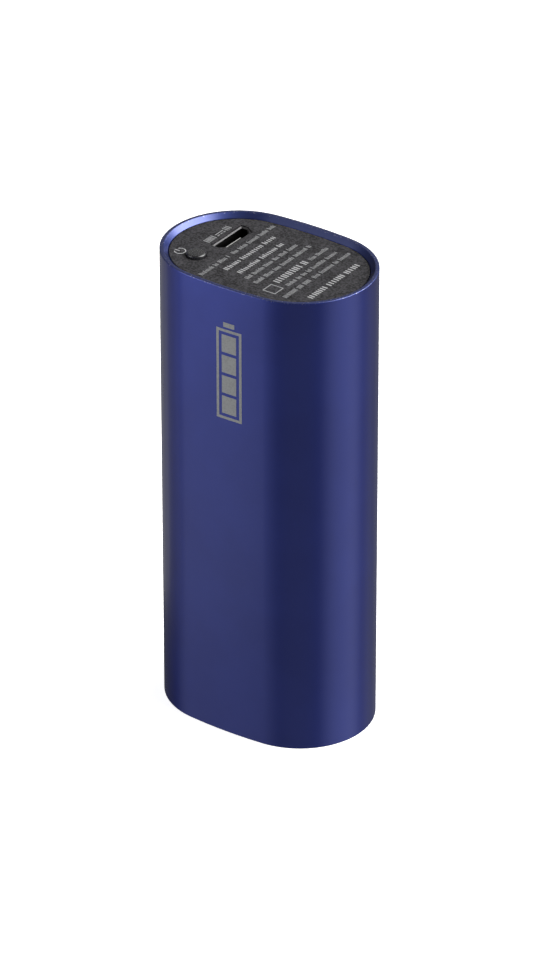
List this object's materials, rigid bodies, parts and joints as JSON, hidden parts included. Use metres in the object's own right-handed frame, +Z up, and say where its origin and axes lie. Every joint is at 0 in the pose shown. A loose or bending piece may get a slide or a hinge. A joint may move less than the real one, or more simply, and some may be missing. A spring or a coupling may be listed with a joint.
{
  "type": "power bank",
  "caption": "Upright pocket power bank: blue anodised oval sleeve, dark recessed end plates, charging inlet and push button on top, output port and charge lights below.",
  "frame": {"origin": "centre of the lower rim, on the surface that the object stands on", "axes": "+X along the section's long axis, +Y along its short axis towards the back, +Z up to the end with the button"},
  "size_m": [0.0334, 0.023, 0.0741],
  "materials": {
    "sleeve": "satin blue anodised",
    "end_plate": "fine textured dark grey moulding",
    "carrier_plastic": "black moulding",
    "steel": "bright plated steel",
    "cell_foils": "wound copper and aluminium foils",
    "gasket": "pale nylon",
    "fibre": "white fibre",
    "wrap": "shrunk film",
    "nickel": "nickel strip",
    "foam": "soft black foam",
    "port_metal": "nickel plated",
    "port_plastic": "black insulator",
    "contact": "gold plated",
    "button": "satin dark grey",
    "board": "green solder mask",
    "ferrite": "dark ferrite",
    "copper": "enamelled copper wire",
    "chip": "black moulded package",
    "leads": "tinned",
    "ceramic": "tan ceramic",
    "led": "clear resin",
    "light_guide": "clear frosted"
  },
  "bodies": {
    "case": {"sleeve": "sleeve", "top_cap": "end_plate", "bottom_cap": "end_plate", "carrier_front": "carrier_plastic", "carrier_back": "carrier_plastic", "carrier_screws": "steel", "cell_can": "steel", "cell_winding": "cell_foils", "cell_gasket": "gasket", "cell_cap": "steel", "cell_ring": "fibre", "cell_wrap": "wrap", "tab_positive": "nickel", "tab_negative": "nickel", "foam_pads": "foam", "insulation_sheet": "fibre", "micro_usb_shell": "port_metal", "micro_usb_tongue": "port_plastic", "micro_usb_contacts": "contact", "usb_a_shell": "port_metal", "usb_a_tongue": "port_plastic", "usb_a_contacts": "contact", "switch_base": "port_plastic", "switch_cover": "port_metal", "switch_dome": "port_metal", "switch_terminals": "leads", "circuit_board": "board", "inductor_core": "ferrite", "inductor_coil": "copper", "charge_leds": "led", "light_guide": "light_guide", "power_chip": "chip", "power_chip_leads": "leads", "controller_chip": "chip", "controller_chip_leads": "leads", "protection_chip": "chip", "protection_chip_leads": "leads", "mosfet_chip": "chip", "mosfet_chip_leads": "leads", "ceramic_capacitors": "ceramic", "capacitor_terminals": "leads", "resistors": "chip", "resistor_terminals": "leads"},
    "button": {"power_button": "button"},
    "plunger": {"switch_plunger": "port_plastic"}
  },
  "joints": [
    {"name": "button_press", "type": "slide", "parent": "case", "child": "button", "axis": [0, 0, 1], "range_m": [-0.00035, 0], "stiffness_N_per_m": 4000},
    {"name": "plunger_press", "type": "slide", "parent": "case", "child": "plunger", "axis": [0, 0, 1], "range_m": [-0.00035, 0], "stiffness_N_per_m": 400, "deforming": ["switch_dome"]}
  ],
  "couplings": [
    {"joint": "plunger_press", "follows": "button_press", "ratio": 1}
  ]
}
